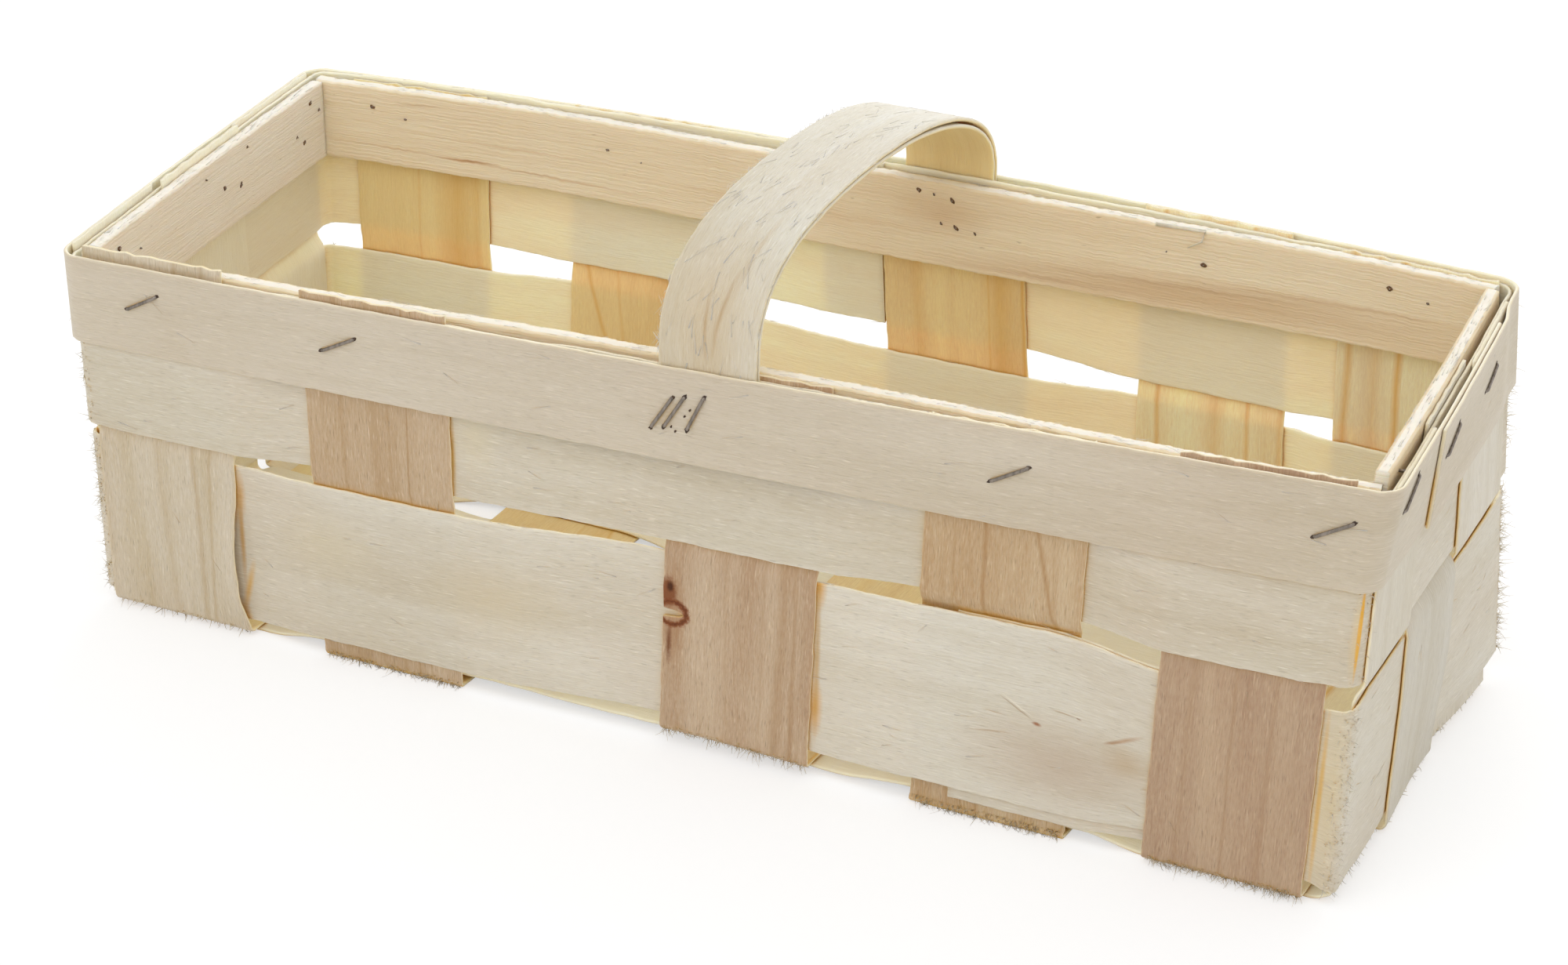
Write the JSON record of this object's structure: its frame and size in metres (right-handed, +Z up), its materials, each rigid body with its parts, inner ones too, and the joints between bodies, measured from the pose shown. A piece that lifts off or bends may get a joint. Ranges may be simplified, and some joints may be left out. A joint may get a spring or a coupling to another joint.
{
  "type": "chip-wood fruit basket",
  "caption": "Long, shallow fruit basket woven from peeled wood veneer strips, with a stapled rim of band and slats and a fixed arched carrying handle.",
  "frame": {"origin": "on the ground under the middle of the basket", "axes": "+X along the basket towards its right-hand end, +Y from the front wall to the back wall, +Z up"},
  "size_m": [0.4073, 0.1571, 0.1668],
  "materials": {
    "band_veneer": "bare peeled veneer, pale grey-buff, matt, fine grain along the strip",
    "weaver_veneer": "bare peeled veneer, cream, matt",
    "stave_veneer": "bare peeled veneer, tan, matt, with weathered streaks",
    "rim_slat_wood": "sawn softwood slat, straw yellow, matt",
    "handle_veneer": "bare bent veneer, pale, matt, slightly fuzzy",
    "staple_steel": "dull grey-brown steel wire"
  },
  "bodies": {
    "root": {"back_long_stave": "stave_veneer", "back_rim_slat": "rim_slat_wood", "back_staple_1": "staple_steel", "back_staple_2": "staple_steel", "back_staple_3": "staple_steel", "back_staple_4": "staple_steel", "back_staple_5": "staple_steel", "back_staple_6": "staple_steel", "back_staple_7": "staple_steel", "cross_stave_1": "stave_veneer", "cross_stave_2": "stave_veneer", "cross_stave_3": "stave_veneer", "cross_stave_4": "stave_veneer", "cross_stave_5": "stave_veneer", "front_long_stave": "stave_veneer", "front_rim_slat": "rim_slat_wood", "front_staple_1": "staple_steel", "front_staple_2": "staple_steel", "front_staple_3": "staple_steel", "front_staple_4": "staple_steel", "front_staple_5": "staple_steel", "front_staple_6": "staple_steel", "front_staple_7": "staple_steel", "handle_inner_ply": "handle_veneer", "handle_outer_ply": "handle_veneer", "left_rim_slat": "rim_slat_wood", "left_staple_1": "staple_steel", "left_staple_2": "staple_steel", "left_staple_3": "staple_steel", "left_staple_4": "staple_steel", "left_staple_5": "staple_steel", "lower_weaver": "weaver_veneer", "middle_long_stave": "stave_veneer", "right_rim_slat": "rim_slat_wood", "right_staple_1": "staple_steel", "right_staple_2": "staple_steel", "right_staple_3": "staple_steel", "rim_band": "band_veneer", "upper_weaver": "weaver_veneer"}
  },
  "joints": []
}
